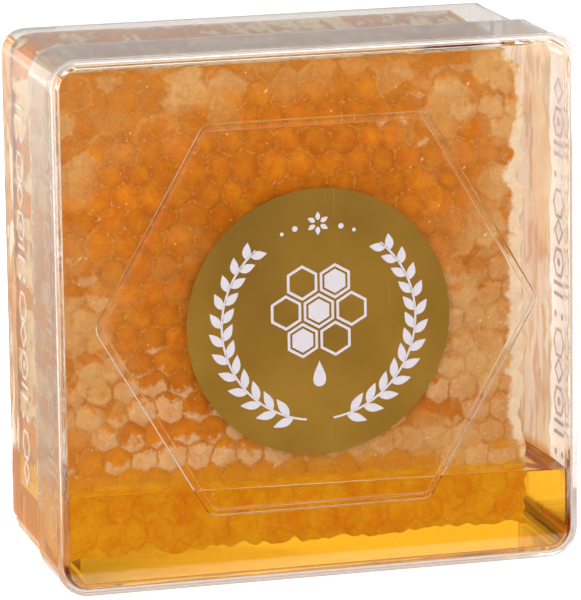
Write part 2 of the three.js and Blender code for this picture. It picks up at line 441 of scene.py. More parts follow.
def face_wash(x, z):
    """Haze of pale wax, gold of thin honey and depth in honey over the face, for arrays of places."""
    across = x / MM
    up = z / MM
    haze = bump_map(across, up, [
        (-40, 96, 19, 9, 1.4), (-8, 100, 26, 4.5, 0.9), (30, 96, 14, 8, 0.9), (-47, 86, 5, 9, 0.7),
        (-47, 55, 6, 15, 1.0), (-42, 40, 9, 13, 0.8), (42, 78, 6, 12, 0.9), (40, 58, 11, 15, 1.1),
        (40, 38, 12, 14, 1.1), (20, 24, 24, 5, 0.8), (-24, 60, 8, 8, 0.3), (26, 84, 5, 6, 0.5),
    ])
    gold = np.exp(-((up - 20) / 6) ** 2) + 0.35 * np.exp(-((up - 99) / 6) ** 2)
    haze = np.clip(haze, 0, 1) + smooth_step(-4 * MM, -0.5 * MM, x - torn_limit(z))
    sunk = smooth_step(1.2, -0.4, (z - HONEY_LEVEL + HONEY_TILT * x) / MM)
    return haze, np.clip(gold, 0, 1), sunk


def cap_height(x, z, behind):
    """How far the caps stand above the grooves, for arrays of places in the cells' own plan."""
    column, row, middle_x, middle_z = cell_of(x, z)
    across = x - middle_x
    up = z - middle_z
    away = cell_distance(across, up)
    dry = smooth_step(0.25, 0.5, dryness(column, row, middle_x, middle_z))
    use = 10 * behind
    rise = WET_CAP_RISE + dry * (DRY_CAP_RISE - WET_CAP_RISE)
    rise = rise + RISE_SPREAD * (2 * chance(column, row, 3 + use) - 1)
    lean_x = (chance(column, row, 4 + use) - 0.5) * 0.07
    lean_z = (chance(column, row, 5 + use) - 0.5) * 0.07
    plateau = 1 - smooth_step(0.6, 1.05, away)
    return plateau * (rise + lean_x * across + lean_z * up) + CAP_DOME * (1 - away * away)


def face_swell(x, z):
    return FACE_SWELL * (
        np.sin(x / MM / 13 + 1) * np.cos(z / MM / 17) + np.sin((x + z) / MM / 29)
    )


def sheet_bend(x, z):
    """Sideways shift that makes the cells uneven. It fades out at the straight cuts."""
    plan = np.stack([x, np.zeros_like(x), z], axis=1)
    hold = MM
    for fade, away in ((5, x - COMB_LEFT), (5, z - COMB_FOOT), (5, COMB_TOP - z), (6, COMB_RIGHT - x)):
        hold = hold * smooth_step(0, fade * MM, away)
    return [
        hold * (1.1 * noise_at(plan, 8 * MM, seed) + 0.5 * noise_at(plan, 2.6 * MM, seed + 1))
        for seed in (1, 3)
    ]


def outline_loops(sheet):
    """For each point on the sheet's outline, the direction that faces out of the comb."""
    outward = {}
    edges = []
    for edge in sheet.edges:
        if len(edge.link_faces) != 1:
            continue
        loop = edge.link_loops[0]
        start = loop.vert
        end = loop.link_loop_next.vert
        edges.append((start.index, end.index))
        along = (end.co - start.co).normalized()
        away = Vector((along.z, 0, -along.x))
        if away.dot(edge.link_faces[0].calc_center_median() - start.co) > 0:
            away = -away
        for point in (start, end):
            outward[point.index] = outward.get(point.index, Vector()) + away
    return edges, {index: way.normalized() for index, way in outward.items()}


def cut_strand(here, there, way, away, is_cut):
    """Places over the comb's side from one face to the other, each with how waxy it is."""
    for step in range(1, CUT_STEPS):
        share = step / CUT_STEPS
        place = here.lerp(there, share)
        ends = float(smooth_step(0, 0.08, 0.5 - abs(share - 0.5)))
        torn = noise.noise(place / (5 * MM) + Vector((9, 2, 4)))
        fine = noise.noise(place / (1.6 * MM) + Vector((1, 5, 7)))
        if is_cut:
            midrib = math.exp(-((share - 0.5) / 0.02) ** 2)
            wax = max(float(smooth_step(0.72, 0.95, away)), midrib)
            depth = 0.45 * (1 - wax) + 0.35 * max(torn + 0.2, 0) + 0.15 * fine
        else:
            wax = 0.6 + 0.4 * fine
            depth = 0.5 * abs(torn) + 0.2 * abs(fine)
        yield tuple(place - way * max(depth, 0) * ends * MM), wax


def comb_mesh():
    """Places and faces, the numbers that the caps' finish reads, and how many faces are caps."""
    sheet = cell_sheet()
    sheet.verts.index_update()
    plan = np.array([point.co for point in sheet.verts])
    x, z = plan[:, 0], plan[:, 2]
    caps = [[point.index for point in face.verts] for face in sheet.faces]
    edges, outward = outline_loops(sheet)
    sheet.free()

    shift_x, shift_z = sheet_bend(x, z)
    lumps = (0.09 * noise_at(plan, 1.3 * MM, 5) + 0.16 * noise_at(plan, 4 * MM, 6)) * MM
    front_y = GROOVE_FRONT_Y + face_swell(x, z) - cap_height(x, z, 0) - lumps
    back_y = GROOVE_BACK_Y - face_swell(-x, z) + cap_height(x, z, 1) + lumps
    drop = TOP_DROP * smooth_step(COMB_TOP - 5 * MM, COMB_TOP, z)
    slant = underside(back_y) * (1 - smooth_step(0, 20 * MM, z - COMB_FOOT))
    places = list(zip(x + shift_x, front_y, z + shift_z - drop))
    places += zip(x + shift_x, back_y, z + shift_z + slant)
    count = len(plan)
    faces = caps + [[index + count for index in reversed(face)] for face in caps]

    layers = {"cap_place": [], "cap_kind": [], "cap_wash": []}

    def describe(place, kind, wash):
        for layer, values in zip(layers.values(), (place, kind, wash)):
            layer.extend(values)

    wash = np.stack(face_wash(x, z), axis=1)
    for number, corners in enumerate(faces):
        behind = number // len(caps)
        face = [index % count for index in corners]
        middle = plan[face].mean(axis=0)
        column, row, cell_x, cell_z = cell_of(middle[0:1], middle[2:3])[:, 0]
        across, up = plan[face, 0] - cell_x, plan[face, 2] - cell_z
        place = zip(across / (CELL_PITCH / 2), up / (CELL_PITCH / 2), cell_distance(across, up))
        tone = chance(column, row, 7 + behind)
        describe(place, [(dryness(column, row, cell_x, cell_z), tone, 0)] * len(face), wash[face])

    strands = {}
    waxy = dict.fromkeys(range(2 * count), 1.0)
    for index, way in outward.items():
        at_x, _, at_z = plan[index]
        inside = plan[index] - np.array(way) * 0.25 * MM
        _, _, cell_x, cell_z = cell_of(inside[0:1], inside[2:3])[:, 0]
        away = float(cell_distance(inside[0] - cell_x, inside[2] - cell_z))
        is_cut = min(abs(at_x - COMB_LEFT), abs(at_z - COMB_FOOT), abs(at_z - COMB_TOP)) < 0.01 * MM
        here, there = Vector(places[index]), Vector(places[index + count])
        strands[index] = [index]
        for place, wax in cut_strand(here, there, way, away, is_cut):
            waxy[len(places)] = wax
            strands[index].append(len(places))
            places.append(place)
        strands[index].append(index + count)
    for start, end in edges:
        one, other = strands[start], strands[end]
        for face in zip(one, other, other[1:], one[1:]):
            faces.append(face)
            describe([(0, 0, waxy[corner]) for corner in face], [(0, 0.5, 0)] * 4, [(0, 0, 0)] * 4)
    return (places, faces), layers, 2 * len(caps)


# ---- Loose honey round the comb's foot ---------------------------------------------------

RIM_DEPTH = 1.5 * MM  # a ring this far below the surface keeps the surface's edge crisp
MENISCUS_RISE = 0.7 * MM
MENISCUS_WIDTH = 1.1 * MM
HOLE_INSET = 2.5 * MM  # the hollow for the comb lies this far inside the comb
TORN_RIGHT = 3 * MM  # and further inside along its torn right edge and its torn foot
TORN_FOOT = 1.5 * MM


def rectangle_loop(left, right, front, back, points=40):
    """Points round a rectangle, the same number along each side."""
    corners = [(left, front), (right, front), (right, back), (left, back)]
    return [
        tuple(a + (b - a) * i / points for a, b in zip(here, there))
        for here, there in zip(corners, corners[1:] + corners[:1]) for i in range(points)
    ]


def honey_mesh():
    side = TRAY_HALF - TRAY_WALL + WALL_REACH
    front = FRONT_Y + LID_PANEL - WALL_REACH
    back = BACK_Y - TRAY_WALL + WALL_REACH
    floor = tray_low.z + TRAY_WALL - FLOOR_REACH
    corner = TRAY_CORNER - TRAY_WALL + WALL_REACH

    def wall_loop(z):
        rounding = max(corner - (z - floor), 0)
        reach = side - corner + math.sqrt(corner * corner - rounding * rounding)
        return [(x, y, z) for x, y in rectangle_loop(-reach, reach, front, back)]

    def surface(x, y):
        to_wall = min(side - abs(x), y - front, back - y) - WALL_REACH
        to_comb = max(COMB_LEFT - x, x - COMB_RIGHT, GROOVE_FRONT_Y - y, y - GROOVE_BACK_Y)
        climb = math.exp(-max(to_wall, 0) / MENISCUS_WIDTH)
        climb += 0.8 * math.exp(-max(to_comb, 0) / MENISCUS_WIDTH)
        ripple = 0.12 * noise.noise(Vector((x, y, 0)) / (6 * MM))
        return HONEY_LEVEL - HONEY_TILT * x + climb * MENISCUS_RISE + ripple * MM

    turns = [step / 8 * math.pi / 2 for step in range(9)]
    loops = [wall_loop(floor + corner * (1 - math.cos(turn))) for turn in turns]
    wall = rectangle_loop(-side, side, front, back)
    hole = rectangle_loop(
        COMB_LEFT + HOLE_INSET, COMB_RIGHT - TORN_RIGHT - HOLE_INSET,
        GROOVE_FRONT_Y + HOLE_INSET, GROOVE_BACK_Y - HOLE_INSET,
    )
    loops.append([(x, y, surface(x, y) - RIM_DEPTH) for x, y in wall])
    for share in (0, 0.03, 0.06, 0.1, 0.16, 0.24, 0.34, 0.46, 0.58, 0.7, 0.82, 0.92, 1):
        loop = [
            (wall_x + (hole_x - wall_x) * share, wall_y + (hole_y - wall_y) * share)
            for (wall_x, wall_y), (hole_x, hole_y) in zip(wall, hole)
        ]
        loops.append([(x, y, surface(x, y)) for x, y in loop])
    hole_foot = COMB_FOOT + HOLE_INSET + TORN_FOOT
    loops.append([(x, y, hole_foot + underside(y)) for x, y in hole])
    places = [place for loop in loops for place in loop]
    count = len(hole)
    faces = ring_faces(range(0, len(places), count), count)
    faces.append(tuple(range(count)))
    faces.append(tuple(range(len(places) - 1, len(places) - count - 1, -1)))
    return places, faces


def smear_mesh(side, front, back, foot, top, wander):
    """Ragged film of wax and honey on the inside of the tray's left or right wall."""
    wall = TRAY_HALF - TRAY_WALL
    shares = (0, 0.03, 0.1, 0.3, 0.5, 0.7, 0.9, 0.97, 1)
    rows = 150
    places = []
    for row in range(rows + 1):
        z = foot + (top - foot) * row / rows
        up = z / MM
        wave = noise.noise(Vector((0, 3, up / 9))) * 2.2 + noise.noise(Vector((0, 8, up / 2.5)))
        start = front + wave * wander
        end = back + 2 * wander * noise.noise(Vector((5, 0, up / 6)))
        for share in shares:
            thick = 0.9 * math.sin(math.pi * share) ** 0.6
            lump = 0.5 * noise.noise(Vector((share * 6, 0, up / 4)))
            y = start + (end - start) * share
            places.append((side * (wall + WALL_REACH), y, z))
            places.append((side * (wall - max(thick + lump, 0.02) * MM), y, z))
    across = 2 * len(shares)
    starts = range(0, across - 2, 2)
    faces = []
    for here in range(0, rows * across, across):
        above = here + across
        for i in starts:
            faces.append((here + i, here + i + 2, above + i + 2, above + i))
            faces.append((here + i + 1, above + i + 1, above + i + 3, here + i + 3))
        for i in (0, across - 2):
            faces.append((here + i, above + i, above + i + 1, here + i + 1))
    for end in (0, rows * across):
        faces.extend((end + i, end + i + 1, end + i + 3, end + i + 2) for i in starts)
    return places, faces


# ---- Printed ornaments --------------------------------------------------------------------


class Print:
    """Flat shapes laid on a surface. place(u, v, lift) gives a shape's points in the frame."""

    def __init__(self, place, thickness):
        self.place = place
        self.thickness = thickness
        self.places = []
        self.faces = []

    def shape(self, outline):
        """A filled shape, from its outline of (u, v)."""
        start = len(self.places)
        count = len(outline)
        for lift in (self.thickness, 0):
            self.places.extend(self.place(u, v, lift) for u, v in outline)
        self.faces.append(tuple(range(start, start + count)))
        self.faces.append(tuple(range(start + 2 * count - 1, start + count - 1, -1)))
        for i in range(count):
            after = (i + 1) % count
            self.faces.append((start + i, start + count + i, start + count + after, start + after))

    def band(self, outer, inner, closed=True):
        """The band between two lines of (u, v) with as many points each."""
        count = len(outer)
        last = count if closed else count - 1
        for i in range(last):
            after = (i + 1) % count
            self.shape([outer[i], outer[after], inner[after], inner[i]])


def polygon(u, v, radius, sides, first=0.0):
    return [
        (
            u + radius * math.cos(first + math.tau * i / sides),
            v + radius * math.sin(first + math.tau * i / sides),
        )
        for i in range(sides)
    ]


def turned(outline, u, v, angle):
    """An outline turned about its origin and moved to u, v."""
    c, s = math.cos(angle), math.sin(angle)
    return [(u + a * c - b * s, v + a * s + b * c) for a, b in outline]


def leaf(length, width):
    """Pointed leaf along u from the origin."""
    upper = [(length * i / 8, width / 2 * math.sin(math.pi * (i / 8) ** 0.8)) for i in range(9)]
    lower = [(a, -b) for a, b in upper[-2:0:-1]]
    return upper + lower


def drop(length):
    """Drop that hangs from the origin."""
    points = []
    for i in range(24):
        turn = math.tau * i / 24
        width = math.sin(turn) * math.sin(turn / 2) ** 1.6
        points.append((0.36 * length * width, -length * (1 - math.cos(turn)) / 2))
    return points


def label_print():
    """Open wreath of leaves round a patch of cells with a drop of honey. Sizes are in mm."""
    centre_z = (label_low.z + label_high.z) / 2
    art = Print(lambda u, v, lift: (u * MM, label_low.y - lift, centre_z + v * MM), 0.03 * MM)
    cell = 3.5
    line = 0.6
    cells_up = 2.2
    pitch = cell * math.sqrt(3) + 0.5
    middles = [(0, cells_up)]
    for i in range(6):
        turn = math.pi / 3 * i
        middles.append((pitch * math.cos(turn), pitch * math.sin(turn) + cells_up))
    for index, (u, v) in enumerate(middles):
        if index in (0, 2, 5):
            art.shape(polygon(u, v, cell - line - 0.5, 6, math.pi / 6))
        art.band(polygon(u, v, cell, 6, math.pi / 6), polygon(u, v, cell - line, 6, math.pi / 6))
    art.shape(turned(drop(5.2), 0, -7.6, 0))

    wreath = 19.4
    stem = [math.radians(-82 + 132 * i / 40) for i in range(41)]
    for side in (-1, 1):
        outer, inner = (
            [(side * reach * math.cos(turn), reach * math.sin(turn)) for turn in stem]
            for reach in (wreath + 0.2, wreath - 0.2)
        )
        art.band(outer, inner, closed=False)
        for index in range(12):
            for lean in (-1, 1):
                at = math.radians(-74 + 10.6 * index) + (0.05 if lean > 0 else 0)
                reach = wreath - lean * 0.2
                outline = turned(
                    leaf(4.3 - 0.09 * index, 1.7), reach * math.cos(at), reach * math.sin(at),
                    at + math.pi / 2 + lean * 0.62,
                )
                art.shape([(side * u, v) for u, v in outline])
        art.shape(polygon(side * 4.6, 18.6, 0.55, 12))
        art.shape(polygon(side * 7.2, 17.7, 0.38, 12))
    for petal in range(6):
        at = math.pi / 3 * petal + math.pi / 6
        art.shape(turned(leaf(1.7, 0.95), 0.62 * math.cos(at), wreath + 0.62 * math.sin(at), at))
    return art.places, art.faces


def border_column(art, across, start, end, first_kind):
    """A column of large ornaments in turn: an open cell, dots, bars, a filled cell, a lozenge."""
    steps = (6.2, 4.6, 5.4, 6.2, 5.6)
    kind = first_kind
    while start < end:
        kind %= len(steps)
        if kind in (0, 3):
            art.band(polygon(across, start, 3.4, 6), polygon(across, start, 2.6, 6))
            if kind == 3:
                art.shape(polygon(across, start, 1.0, 6))
        elif kind == 1:
            for side in (-1, 1):
                art.shape(polygon(across + 2.0 * side, start - 0.6, 0.75, 10))
        elif kind == 2:
            for v in (start - 1.1, start + 1.1):
                left, right = across - 3.0, across + 3.0
                art.shape([(left, v - 0.4), (right, v - 0.4), (right, v + 0.4), (left, v + 0.4)])
        else:
            art.band(polygon(across, start, 2.9, 4), polygon(across, start, 1.9, 4))
        start += steps[kind]
        kind += 1


def wall_print(side):
    """Three columns of ornaments up the tray's left or right wall."""
    wall = side * TRAY_HALF
    art = Print(lambda u, v, lift: (wall + side * lift, side * u * MM, v * MM), 0.04 * MM)
    for index, depth in enumerate((-18.6, -4.5, 8.5)):
        border_column(art, side * depth, 14 + 1.6 * index, 93 - 1.5 * index, index * 2)
    return art.places, art.faces


def foot_print():
    """One sparse row of ornaments on the tray's underside, near the front."""
    art = Print(lambda u, v, lift: (v * MM, u * MM, tray_low.z - lift), 0.04 * MM)
    depth = -17.5
    for index in range(8):
        place = -37 + 10.5 * index
        if index % 2:
            art.band(polygon(depth, place, 1.4, 6), polygon(depth, place, 1.1, 6))
        else:
            art.shape(polygon(depth, place, 0.5, 10))
    return art.places, art.faces


# ---- Finishes ------------------------------------------------------------------------------


def linear(red, green, blue):
    """A colour given as it looks on a screen, from 0 to 255, as a shader's linear colour."""
    parts = []
    for value in (red, green, blue):
        value /= 255
        parts.append(value / 12.92 if value <= 0.04045 else ((value + 0.055) / 1.055) ** 2.4)
    return (*parts, 1)


class Value:
    """A number, colour or vector in a node tree. Numbers take plain sums and products."""

    def __init__(self, nodes, socket):
        self.nodes = nodes
        self.socket = socket

    def math(self, operation, other, clamp=False):
        settings = {"operation": operation, "use_clamp": clamp}
        return self.nodes.get("ShaderNodeMath", 0, {0: self, 1: other}, **settings)

    def __add__(self, other):
        return self.math("ADD", other)

    def __sub__(self, other):
        return self.math("SUBTRACT", other)

    def __mul__(self, other):
        return self.math("MULTIPLY", other)

    def ramp(self, low, high, to_low=0.0, to_high=1.0):
        """Runs smoothly from to_low to to_high as this number runs from low to high."""
        inputs = {"Value": self, "From Min": low, "From Max": high, "To Min": to_low, "To Max": to_high}
        return self.nodes.get("ShaderNodeMapRange", "Result", inputs, interpolation_type="SMOOTHSTEP")

    def axis(self, name):
        return self.nodes.get("ShaderNodeSeparateXYZ", name, {"Vector": self})

    def channel(self, name):
        return self.nodes.get("ShaderNodeSeparateColor", name, {"Color": self})


class Nodes:
    """A node tree, emptied, with short ways to add a node and to feed its inputs."""

    def __init__(self, tree):
        self.tree = tree
        tree.nodes.clear()

    def add(self, kind, inputs=(), **settings):
        node = self.tree.nodes.new(kind)
        for name, value in settings.items():
            setattr(node, name, value)
        for name, value in dict(inputs).items():
            if isinstance(value, Value):
                self.tree.links.new(value.socket, node.inputs[name])
            else:
                node.inputs[name].default_value = value
        return node

    def get(self, kind, output, inputs=(), **settings):
        """One output of a new node."""
        return Value(self, self.add(kind, inputs, **settings).outputs[output])

    def outputs(self, node):
        return {socket.name: Value(self, socket) for socket in node.outputs}

    def use(self, group, inputs):
        """The outputs of a shader group placed in this tree."""
        return self.outputs(self.add("ShaderNodeGroup", inputs, node_tree=group))

    def mottle(self, light, dark, cloud_size, specks):
        colours = {"Light": linear(*light), "Dark": linear(*dark)}
        return self.use(MOTTLE, {**colours, "Cloud Size": cloud_size, "Specks": specks})

    def place(self):
        return self.get("ShaderNodeTexCoord", "Object")

    def mapped(self, vector_type="POINT", **inputs):
        """The place on the piece, turned and stretched."""
        inputs["Vector"] = self.place()
        return self.get("ShaderNodeMapping", "Vector", inputs, vector_type=vector_type)

    def read(self, layer):
        """The numbers that the mesh keeps under this name."""
        return self.get("ShaderNodeAttribute", "Vector", attribute_name=layer)

    def noise(self, scale, detail, roughness, distortion=0.0, vector=None, output="Fac"):
        inputs = {"Scale": scale, "Detail": detail, "Roughness": roughness, "Distortion": distortion}
        inputs["Vector"] = vector or self.place()
        return self.get("ShaderNodeTexNoise", output, inputs)

    def flecks(self, scale, vector=None):
        """Distance from the middle of the nearest random fleck, and that fleck's own colour."""
        inputs = {"Vector": vector or self.place(), "Scale": scale}
        found = self.outputs(self.add("ShaderNodeTexVoronoi", inputs))
        return found["Distance"], found["Color"]

    def mix(self, share, first, second, blend="MIX"):
        inputs = {0: share, 6: first, 7: second}
        return self.get("ShaderNodeMix", 2, inputs, data_type="RGBA", blend_type=blend)

    def shaded(self, colour, strength):
        return self.mix(1.0, colour, strength, "MULTIPLY")

    def bump(self, height, strength, distance, **normal):
        inputs = {"Height": height, "Strength": strength, "Distance": distance, **normal}
        return self.get("ShaderNodeBump", "Normal", inputs)


def shader_group(name, build, defaults):
    """Shader group with named inputs and, as outputs, what build(nodes, inputs) gives by name."""
    group = bpy.data.node_groups.new(name, "ShaderNodeTree")
    nodes = Nodes(group)
    for socket, value in defaults.items():
        kind = "NodeSocketColor" if isinstance(value, tuple) else "NodeSocketFloat"
        group.interface.new_socket(socket, in_out="INPUT", socket_type=kind).default_value = value
    found = build(nodes, nodes.outputs(nodes.add("NodeGroupInput")))
    for socket in found:
        kind = "NodeSocketColor" if socket == "Color" else "NodeSocketFloat"
        group.interface.new_socket(socket, in_out="OUTPUT", socket_type=kind)
    nodes.add("NodeGroupOutput", found)
    return group


def moulding_marks(nodes, given):
    """Faint flow waves and fine rub marks of moulded clear plastic, as a height and a haze."""
    waves = nodes.noise(given["Wave Size"], 1.0, 0.4)
    rubs = nodes.noise(900.0, 3.0, 0.7, 0.6, nodes.mapped(Scale=(1, 1, 0.08)))
    marks = rubs.ramp(0.62, 0.75) * given["Rub"]
    smudge = nodes.noise(45.0, 4.0, 0.6).ramp(0.5, 0.8)
    return {"Height": waves + marks * 0.02, "Haze": smudge * 0.5 + marks}


def honey_mottle(nodes, given):
    """Uneven amber of honey behind wax: soft clouds, fine grain and rare dark specks."""
    clouds = nodes.noise(given["Cloud Size"], 4.0, 0.55, 0.4)
    grain = nodes.noise(1700.0, 3.0, 0.6)
    shade = nodes.mix((grain * 0.25 + clouds).ramp(0.4, 0.85), given["Dark"], given["Light"])
    away, own = nodes.flecks(150.0)
    rare = own.channel("Red").math("GREATER_THAN", 0.96)
    speck = away.ramp(0.05, 0.02) * rare * given["Specks"]
    return {"Color": nodes.mix(speck, shade, linear(95, 45, 12)), "Grain": grain}


def wax_scales(nodes, given):
    """Thin rounded scales of wax that overlap: how thick each one lies and its bright rim."""
    bend = nodes.noise(240.0, 2.0, 0.5, output="Color")
    inputs = {0: bend, 1: (0.004, 0.004, 0.004), 2: nodes.place()}
    moved = nodes.get("ShaderNodeVectorMath", "Vector", inputs, operation="MULTIPLY_ADD")
    away, own = nodes.flecks(given["Scale Size"], moved)
    rim = away.ramp(0.46, 0.54) * away.ramp(0.62, 0.56) * own.channel("Green").ramp(0.3, 0.9)
    return {"Cover": own.channel("Red").ramp(0.25, 0.95) * away.ramp(0.64, 0.5), "Rim": rim}


def painted_glints(nodes, given):
    """Painted highlights: fine bright dots and short dashes, in clusters, where a wet film would catch
    light.
    """
    total = 0.0
    for scale, turn, squeeze in ((520.0, 0.7, 0.45), (640.0, -0.9, 1.0)):
        turned = nodes.mapped("TEXTURE", Rotation=(0, turn, 0), Scale=(1, 1, 1 / squeeze))
        away, own = nodes.flecks(scale, turned)
        chosen = own.channel("Blue").math("GREATER_THAN", given["Many"] * -0.3 + 0.96)
        total = (away.ramp(0.14, 0.06) * chosen).math("ADD", total, clamp=True)
    return {"Painted Glint": total * nodes.noise(110.0, 2.0, 0.5).ramp(0.4, 0.58)}


MOULDING = shader_group("moulding marks", moulding_marks, {"Wave Size": 60.0, "Rub": 0.5})
MOTTLE = shader_group("honey mottle", honey_mottle, {
    "Light": (1, 1, 1, 1), "Dark": (0, 0, 0, 1), "Cloud Size": 140.0, "Specks": 0.5,
})
SCALES = shader_group("wax scales", wax_scales, {"Scale Size": 120.0})
PAINTED_GLINTS = shader_group("painted glints", painted_glints, {"Many": 0.5})


class Finish(Nodes):
    """The nodes of a new material."""

    def __init__(self, name):
        self.material = bpy.data.materials.new(name)
        self.material.use_nodes = True
        super().__init__(self.material.node_tree)

    def principled(self, inputs):
        return self.get("ShaderNodeBsdfPrincipled", "BSDF", inputs)

    def let_lamps_through(self, shader, tint):
        """The shader as seen, but clear to light on its way to what is behind it."""
        return self.get("ShaderNodeMixShader", "Shader", {
            0: self.get("ShaderNodeLightPath", "Is Shadow Ray"),
            1: shader,
            2: self.get("ShaderNodeBsdfTransparent", "BSDF", {"Color": tint}),
        })

    def done(self, surface, **volume):
        """The material, with what its surface and volume show."""
        self.add("ShaderNodeOutputMaterial", {"Surface": surface, **volume})
        return self.material


def clear_plastic(name, wave_size, rub):
    """Clear polystyrene with a faint warm tint and marks of moulding and handling."""
    nodes = Finish(name)
    marks = nodes.use(MOULDING, {"Wave Size": wave_size, "Rub": rub})
    shader = nodes.principled({
        "Base Color": (0.98, 0.95, 0.93, 1),
        "Roughness": marks["Haze"] * 0.06,
        "IOR": 1.57,
        "Transmission Weight": 1.0,
        "Normal": nodes.bump(marks["Height"], 0.035, 0.0004),
    })
    return nodes.done(nodes.let_lamps_through(shader, (0.95, 0.94, 0.93, 1)))


def clear_honey():
    nodes = Finish("clear amber honey")
    shader = nodes.principled({
        "Base Color": (1, 1, 1, 1),
        "Roughness": nodes.noise(300.0, 2.0, 0.5).ramp(0.6, 0.9, 0.0, 0.05),
        "IOR": 1.49,
        "Transmission Weight": 1.0,
        "Normal": nodes.bump(nodes.noise(120.0, 1.0, 0.4), 0.05, 0.0005),
    })
    amber = {"Color": (0.9925, 0.925, 0.6, 1), "Density": 200.0}
    tint = nodes.get("ShaderNodeVolumeAbsorption", "Volume", amber)
    return nodes.done(nodes.let_lamps_through(shader, (0.97, 0.97, 0.97, 1)), Volume=tint)


def capped_comb():
    """Wax caps: amber where honey touches them, pale where there is air underneath, with painted
    glints, and lighter in the honey, partly by painted light.
    """
    nodes = Finish("capped comb")
    spot, cell, wash = nodes.read("cap_place"), nodes.read("cap_kind"), nodes.read("cap_wash")
    away = spot.axis("Z")
    wander = nodes.noise(420.0, 4.0, 0.65)
    fibre = nodes.noise(1500.0, 5.0, 0.75, 0.6)

    wet = nodes.mottle((226, 139, 18), (208, 112, 9), 300.0, 0.9)
    tone = cell.axis("Y").ramp(0.0, 1.0, 0.9, 1.07) * away.ramp(0.35, 1.0, 1.05, 0.9)
    wet_colour = nodes.shaded(wet["Color"], tone)
    wet_colour = nodes.mix(wash.axis("Y") * 0.7, wet_colour, linear(228, 156, 24))

    dry = nodes.mottle((243, 198, 146), (229, 174, 114), 300.0, 0.3)
    waterline = cell.axis("X").ramp(0.0, 0.9, -1.3, 0.85)
    fill = (waterline + wander * 3.0 - 1.5 - spot.axis("Y")).ramp(-0.2, 0.28)
    frayed = fibre * 0.5 + wander * 0.7 - 0.6
    thin = (fibre * 0.4 + wander).ramp(0.5, 0.75, 0.6, 0.96)
    air = fill * (away + frayed).ramp(1.02, 0.84) * thin
    colour = nodes.mix(air, wet_colour, dry["Color"])

    groove = (away + wander * 0.6 - 0.3).ramp(0.8, 1.02) * wander.ramp(0.35, 0.65, 0.08, 0.4)
    groove = groove * air.ramp(0.0, 0.6, 1.0, 0.0)
    colour = nodes.mix(groove, colour, linear(194, 98, 14))
    wall = away.ramp(0.86, 0.97) * fibre.ramp(0.48, 0.6, 0.0, 0.5)
    colour = nodes.mix(wall, colour, linear(240, 176, 90))

    haze = wash.axis("X").math("MINIMUM", 1.0)
    colour = nodes.mix(haze * wander.ramp(0.3, 0.55, 0.1, 0.7), colour, linear(206, 138, 60))
    for size, strength in ((95.0, 0.75), (150.0, 0.6)):
        film = nodes.use(SCALES, {"Scale Size": size})
        colour = nodes.mix(film["Cover"] * haze * strength * thin, colour, linear(231, 185, 117))
        colour = nodes.mix(film["Rim"] * haze * 0.2, colour, linear(240, 200, 134))
    # Near-white at the torn right edge: pale thin wax, partly a painted highlight where those thin
    # walls catch the light.
    torn = (wander * 1.6 + wash.axis("X")).ramp(2.0, 2.45, 0.0, 0.88)
    colour = nodes.mix(torn, colour, linear(254, 232, 200))

    # Below the honey's level the caps take a lighter, yellower colour: partly the honey's tint, partly
    # painted light that stands in for light glowing through the honey.
    deep_and_painted_light = nodes.mottle((252, 192, 30), (240, 156, 12), 210.0, 1.0)
    under = nodes.mix(groove, deep_and_painted_light["Color"], linear(224, 130, 14))
    colour = nodes.mix(wash.axis("Z"), colour, under)

    colour = nodes.shaded(colour, fibre.ramp(0.25, 0.75, 0.9, 1.08))
    # Painted highlights: near-white glints are mixed into the caps' colour.
    painted_glint = nodes.use(PAINTED_GLINTS, {"Many": haze * 0.4 + 0.8})["Painted Glint"]
    grain = nodes.bump(wet["Grain"], 0.3, 0.0002)
    return nodes.done(nodes.principled({
        "Base Color": nodes.mix(painted_glint * 0.75, colour, linear(255, 232, 190)),
        "Roughness": wander.ramp(0.3, 0.7, 0.3, 0.5),
        "IOR": 1.44,
        "Specular IOR Level": 0.2,
        "Subsurface Weight": 0.4,
        "Subsurface Radius": (0.003, 0.0014, 0.0004),
        "Subsurface Scale": 1.0,
        "Normal": nodes.bump(nodes.noise(900.0, 2.0, 0.5), 0.3, 0.0003, Normal=grain),
    }))


def cut_comb(name, light, dark, wax, sunk, line_strength, glow, stretch):
    """Wax and honey against the box: mottled from light to dark, patches of wax, cell walls.

    Below the honey's level it has the sunk colour. It has a painted glow, an emission of its
    own colour as strong as glow, standing in for light from behind that shines through it,
    and its patches are drawn out upwards by 1 / stretch.
    """
    nodes = Finish(name)
    drawn = nodes.mapped(Scale=(1, 1, stretch))
    patches = nodes.noise(75.0, 3.0, 0.5, 1.2, drawn)
    smear = nodes.noise(330.0, 4.0, 0.6, 0.8, drawn)
    edge = nodes.read("cap_place").axis("Z") * 0.12 + (smear * 0.35 + patches)
    honey = nodes.mottle(light, dark, 120.0, 0.6)["Color"]
    colour = nodes.mix(edge.ramp(0.68, 0.78), honey, linear(*wax))
    line = edge.ramp(0.64, 0.7) * edge.ramp(0.78, 0.71)
    colour = nodes.mix(line * line_strength, colour, linear(150, 110, 84))
    under = nodes.place().axis("Z").ramp(HONEY_LEVEL + 2.5 * MM, HONEY_LEVEL, 0.0, 0.8)
    colour = nodes.mix(under, colour, linear(*sunk))
    return nodes.done(nodes.principled({
        "Base Color": colour,
        "Roughness": smear.ramp(0.35, 0.65, 0.25, 0.5),
        "IOR": 1.46,
        "Specular IOR Level": 0.3,
        "Subsurface Weight": 0.3,
        "Subsurface Radius": (0.003, 0.0014, 0.0005),
        "Subsurface Scale": 1.0,
        # Painted glow: the emission stands in for light from behind shining through thin wax.
        "Emission Color": colour,
        "Emission Strength": glow,
        "Normal": nodes.bump(smear, 0.4, 0.0004),
    }))


